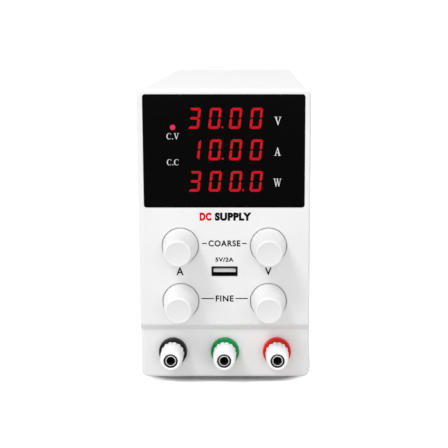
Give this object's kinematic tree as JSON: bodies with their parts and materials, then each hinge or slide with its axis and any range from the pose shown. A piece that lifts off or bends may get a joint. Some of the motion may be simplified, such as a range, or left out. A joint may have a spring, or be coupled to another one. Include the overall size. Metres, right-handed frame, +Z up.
{
  "type": "bench power supply",
  "caption": "Upright bench power supply with a digital display window, control knobs, a USB outlet, screw-cap binding posts, a rear fan and a mains inlet.",
  "frame": {"origin": "centre of the object's bounding box on the surface that the feet stand on", "axes": "+X to the right of someone facing the front panel, +Y from the front panel to the rear, +Z up"},
  "size_m": [0.0844, 0.2288, 0.1443],
  "materials": {
    "white_plastic": "fine satin moulding",
    "knob_plastic": "satin",
    "shaft_aluminium": "machined",
    "potentiometer_can": "zinc plated",
    "white_paint": "fine powder coat",
    "window_black": "polished",
    "chassis_zinc": "powder coat",
    "foot_rubber": "matt",
    "screw_nickel": "nickel plated",
    "display_module": "matt",
    "led_red": "diffused lens",
    "usb_metal": "black nickel plated",
    "usb_tongue_plastic": "moulded",
    "base_black": "satin",
    "base_green": "satin",
    "base_red": "satin",
    "post_nickel": "nickel plated brass",
    "insert_brass": "machined",
    "cap_plastic": "satin",
    "fan_plastic": "moulded",
    "guard_wire": "nickel plated wire",
    "inlet_plastic": "moulded",
    "pin_nickel": "nickel plated brass",
    "switch_plastic": "satin",
    "selector_plastic": "moulded",
    "selector_red": "satin",
    "circuit_board": "solder mask",
    "transformer_core": "ferrite",
    "heatsink_aluminium": "extruded",
    "capacitor_sleeve": "shrink sleeve"
  },
  "bodies": {
    "case": {"amps_display": "display_module", "base_chassis": "chassis_zinc", "black_post_base": "base_black", "black_post_stud": "post_nickel", "case_cover": "white_paint", "cc_led": "led_red", "cover_screw_front_left": "screw_nickel", "cover_screw_front_right": "screw_nickel", "cover_screw_rear_left": "screw_nickel", "cover_screw_rear_right": "screw_nickel", "current_coarse_pot": "potentiometer_can", "current_fine_pot": "potentiometer_can", "cv_led": "led_red", "display_window": "window_black", "fan_frame": "fan_plastic", "fan_guard": "guard_wire", "foot_front_left": "foot_rubber", "foot_front_right": "foot_rubber", "foot_rear_left": "foot_rubber", "foot_rear_right": "foot_rubber", "front_board": "circuit_board", "front_panel": "white_plastic", "green_post_base": "base_green", "green_post_stud": "post_nickel", "heatsink": "heatsink_aluminium", "inlet_earth_pin": "pin_nickel", "inlet_housing": "inlet_plastic", "inlet_line_pin": "pin_nickel", "inlet_neutral_pin": "pin_nickel", "input_capacitor": "capacitor_sleeve", "main_board": "circuit_board", "rear_panel": "white_paint", "red_post_base": "base_red", "red_post_stud": "post_nickel", "selector_housing": "selector_plastic", "switch_frame": "switch_plastic", "transformer": "transformer_core", "usb_shell": "usb_metal", "usb_tongue": "usb_tongue_plastic", "voltage_coarse_pot": "potentiometer_can", "voltage_fine_pot": "potentiometer_can", "volts_display": "display_module", "watts_display": "display_module"},
    "current_coarse_control": {"current_coarse_knob": "knob_plastic", "current_coarse_shaft": "shaft_aluminium"},
    "current_fine_control": {"current_fine_knob": "knob_plastic", "current_fine_shaft": "shaft_aluminium"},
    "voltage_coarse_control": {"voltage_coarse_knob": "knob_plastic", "voltage_coarse_shaft": "shaft_aluminium"},
    "voltage_fine_control": {"voltage_fine_knob": "knob_plastic", "voltage_fine_shaft": "shaft_aluminium"},
    "black_post_thread": {"black_post_insert": "insert_brass"},
    "black_post_grip": {"black_post_cap": "cap_plastic"},
    "green_post_thread": {"green_post_insert": "insert_brass"},
    "green_post_grip": {"green_post_cap": "cap_plastic"},
    "red_post_thread": {"red_post_insert": "insert_brass"},
    "red_post_grip": {"red_post_cap": "cap_plastic"},
    "rotor": {"fan_rotor": "fan_plastic"},
    "rocker": {"switch_rocker": "switch_plastic"},
    "selector": {"selector_slider": "selector_red"}
  },
  "joints": [
    {"name": "current_coarse_turn", "type": "hinge", "parent": "case", "child": "current_coarse_control", "pos_m": [-0.021, -0.1065, 0.0695], "axis": [0, -1, 0], "range_deg": [-150, 150]},
    {"name": "current_fine_turn", "type": "hinge", "parent": "case", "child": "current_fine_control", "pos_m": [-0.021, -0.1065, 0.0423], "axis": [0, -1, 0], "range_deg": [-150, 150]},
    {"name": "voltage_coarse_turn", "type": "hinge", "parent": "case", "child": "voltage_coarse_control", "pos_m": [0.021, -0.1065, 0.0695], "axis": [0, -1, 0], "range_deg": [-150, 150]},
    {"name": "voltage_fine_turn", "type": "hinge", "parent": "case", "child": "voltage_fine_control", "pos_m": [0.021, -0.1065, 0.0423], "axis": [0, -1, 0], "range_deg": [-150, 150]},
    {"name": "black_post_travel", "type": "slide", "parent": "case", "child": "black_post_thread", "axis": [0, -1, 0], "range_m": [0, 0.003]},
    {"name": "black_post_turn", "type": "hinge", "parent": "black_post_thread", "child": "black_post_grip", "pos_m": [-0.0252, -0.1045, 0.0167], "axis": [0, -1, 0], "range_deg": [0, 1350]},
    {"name": "green_post_travel", "type": "slide", "parent": "case", "child": "green_post_thread", "axis": [0, -1, 0], "range_m": [0, 0.003]},
    {"name": "green_post_turn", "type": "hinge", "parent": "green_post_thread", "child": "green_post_grip", "pos_m": [0, -0.1045, 0.0167], "axis": [0, -1, 0], "range_deg": [0, 1350]},
    {"name": "red_post_travel", "type": "slide", "parent": "case", "child": "red_post_thread", "axis": [0, -1, 0], "range_m": [0, 0.003]},
    {"name": "red_post_turn", "type": "hinge", "parent": "red_post_thread", "child": "red_post_grip", "pos_m": [0.0252, -0.1045, 0.0167], "axis": [0, -1, 0], "range_deg": [0, 1350]},
    {"name": "fan_spin", "type": "hinge", "parent": "case", "child": "rotor", "pos_m": [0, 0.096, 0.107], "axis": [0, -1, 0], "continuous": true},
    {"name": "power_rocker_tilt", "type": "hinge", "parent": "case", "child": "rocker", "pos_m": [0.02, 0.10715, 0.029], "axis": [-1, 0, 0], "range_deg": [0, 20]},
    {"name": "voltage_selector_slide", "type": "slide", "parent": "case", "child": "selector", "axis": [1, 0, 0], "range_m": [0, 0.0072]}
  ],
  "couplings": [
    {"joint": "black_post_turn", "follows": "black_post_travel", "rad_per_m": 7854},
    {"joint": "green_post_turn", "follows": "green_post_travel", "rad_per_m": 7854},
    {"joint": "red_post_turn", "follows": "red_post_travel", "rad_per_m": 7854}
  ]
}
